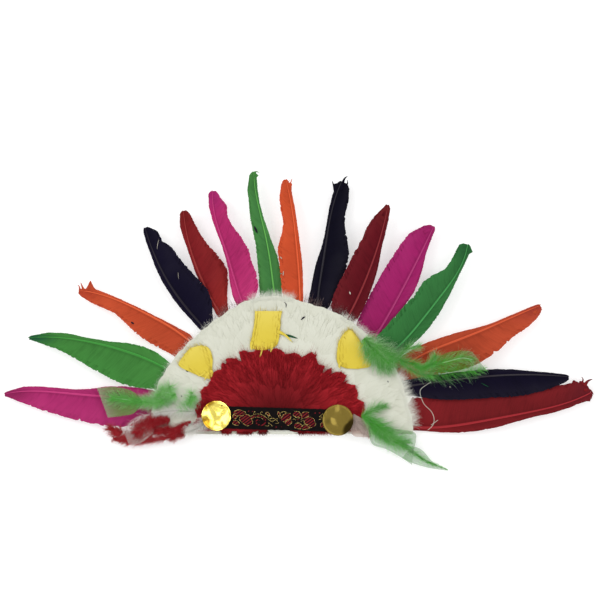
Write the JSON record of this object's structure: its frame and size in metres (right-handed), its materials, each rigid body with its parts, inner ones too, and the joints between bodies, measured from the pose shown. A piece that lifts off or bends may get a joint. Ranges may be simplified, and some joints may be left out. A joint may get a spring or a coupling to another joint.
{
  "type": "feathered headdress",
  "caption": "Feathered headdress lying flat: long dyed quill feathers fan out from a half-round card covered in short feathers, with a woven ribbon and gold discs across the brow.",
  "frame": {"origin": "under the middle of the ribbon, on the flat back face of the card", "axes": "+X to the wearer's left along the ribbon as seen from the front, +Y up towards the middle feathers, +Z out of the decorated front"},
  "size_m": [0.5896, 0.2997, 0.024],
  "materials": {
    "backing_card": "matt off-white card",
    "magenta_feather": "dyed magenta quill feather, soft satin barbs",
    "green_feather": "dyed green quill feather, soft satin barbs",
    "orange_feather": "dyed orange quill feather, soft satin barbs",
    "navy_feather": "dyed dark navy quill feather, soft satin barbs",
    "red_feather": "dyed deep red feather, soft satin barbs",
    "white_feather": "off-white body feathers, matt and downy",
    "yellow_feather": "dyed yellow body feather, matt",
    "green_plume": "dyed bright green downy plume",
    "pale_feather": "pale pinkish translucent feather",
    "woven_ribbon": "black woven ribbon with dark red flowers and gold outlines",
    "gold_foil": "mirror gold foil, creased"
  },
  "bodies": {
    "root": {"backing_card": "backing_card", "quill_feather_01_magenta": "magenta_feather", "quill_feather_02_green": "green_feather", "quill_feather_03_orange": "orange_feather", "quill_feather_04_navy": "navy_feather", "quill_feather_05_red": "red_feather", "quill_feather_06_magenta": "magenta_feather", "quill_feather_07_green": "green_feather", "quill_feather_08_orange": "orange_feather", "quill_feather_09_navy": "navy_feather", "quill_feather_10_red": "red_feather", "quill_feather_11_magenta": "magenta_feather", "quill_feather_12_green": "green_feather", "quill_feather_13_orange": "orange_feather", "quill_feather_14_navy": "navy_feather", "quill_feather_15_red": "red_feather", "white_feather_fan": "white_feather", "red_feather_fan": "red_feather", "yellow_feather_left": "yellow_feather", "yellow_feather_centre": "yellow_feather", "yellow_feather_right": "yellow_feather", "green_plume_upper_right": "green_plume", "green_plume_lower_right": "green_plume", "green_plume_left": "green_plume", "red_side_tuft": "red_feather", "white_side_tuft": "white_feather", "pale_side_feather": "pale_feather", "woven_ribbon": "woven_ribbon", "gold_disc_left": "gold_foil", "gold_disc_right": "gold_foil"}
  },
  "joints": []
}
